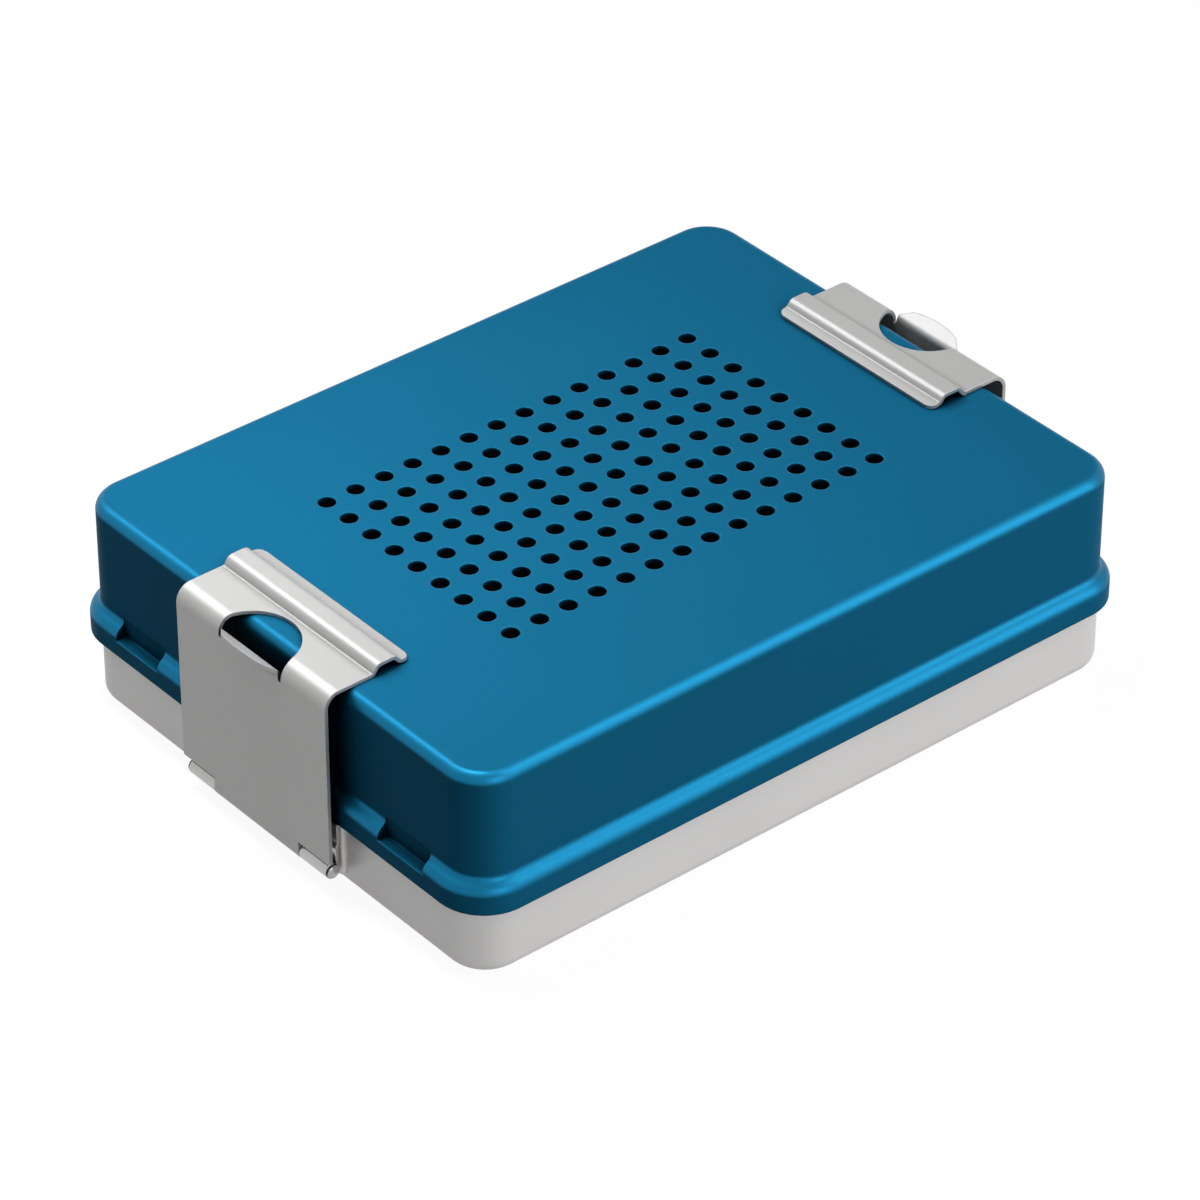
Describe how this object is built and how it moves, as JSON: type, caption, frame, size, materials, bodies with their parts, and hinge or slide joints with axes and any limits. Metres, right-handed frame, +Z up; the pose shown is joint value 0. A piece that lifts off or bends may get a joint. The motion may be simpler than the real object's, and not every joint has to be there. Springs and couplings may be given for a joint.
{
  "type": "dental instrument cassette",
  "caption": "Rectangular metal sterilising cassette with a perforated lid, two hinged end latches, a lid filter under a retainer plate, and an inner tray with combs for instruments.",
  "frame": {"origin": "on the resting surface, under the middle of the tray", "axes": "+X along the length towards the right-hand latch, +Y across the width, +Z up through the lid"},
  "size_m": [0.2008, 0.145, 0.0554],
  "materials": {
    "lid_blue": "satin anodised blue aluminium",
    "aluminium": "satin anodised natural",
    "steel": "fine brushed stainless",
    "bright_steel": "electropolished stainless",
    "silicone": "matt translucent white silicone",
    "filter_dark": "matt dark PTFE membrane",
    "button_grey": "matt"
  },
  "bodies": {
    "tray": {"tray_shell": "aluminium", "left_hinge_pad": "aluminium", "right_hinge_pad": "aluminium", "left_hinge_bracket": "steel", "right_hinge_bracket": "steel", "left_hinge_rivets": "bright_steel", "right_hinge_rivets": "bright_steel", "left_hinge_pin": "bright_steel", "right_hinge_pin": "bright_steel", "instrument_tray": "bright_steel", "instrument_tray_feet": "silicone", "left_rail": "bright_steel", "right_rail": "bright_steel", "rail_rivets": "bright_steel", "left_comb": "silicone", "right_comb": "silicone", "comb_pins": "bright_steel"},
    "lid": {"lid_shell": "lid_blue", "gasket_channel": "aluminium", "lid_gasket": "silicone", "filter_sheet": "filter_dark", "filter_retainer": "steel", "retainer_studs": "bright_steel"},
    "left_latch": {"left_latch": "steel"},
    "right_latch": {"right_latch": "steel"},
    "left_turn_button": {"left_turn_button": "button_grey"},
    "right_turn_button": {"right_turn_button": "button_grey"}
  },
  "joints": [
    {"name": "left_latch_swing", "type": "hinge", "parent": "tray", "child": "left_latch", "pos_m": [-0.09555, 0, 0.0056], "axis": [0, -1, 0], "range_deg": [0, 85]},
    {"name": "right_latch_swing", "type": "hinge", "parent": "tray", "child": "right_latch", "pos_m": [0.09555, 0, 0.0056], "axis": [0, 1, 0], "range_deg": [0, 85]},
    {"name": "lid_lift", "type": "slide", "parent": "tray", "child": "lid", "axis": [0, 0, 1], "range_m": [0, 0.0089]},
    {"name": "left_button_turn", "type": "hinge", "parent": "lid", "child": "left_turn_button", "pos_m": [-0.06, 0, 0.048], "axis": [0, 0, 1], "range_deg": [0, 90]},
    {"name": "right_button_turn", "type": "hinge", "parent": "lid", "child": "right_turn_button", "pos_m": [0.06, 0, 0.048], "axis": [0, 0, 1], "range_deg": [0, 90]}
  ],
  "couplings": [
    {"joint": "left_latch_swing", "follows": "lid_lift", "rad_per_m": 166.68},
    {"joint": "right_latch_swing", "follows": "lid_lift", "rad_per_m": 166.68}
  ]
}
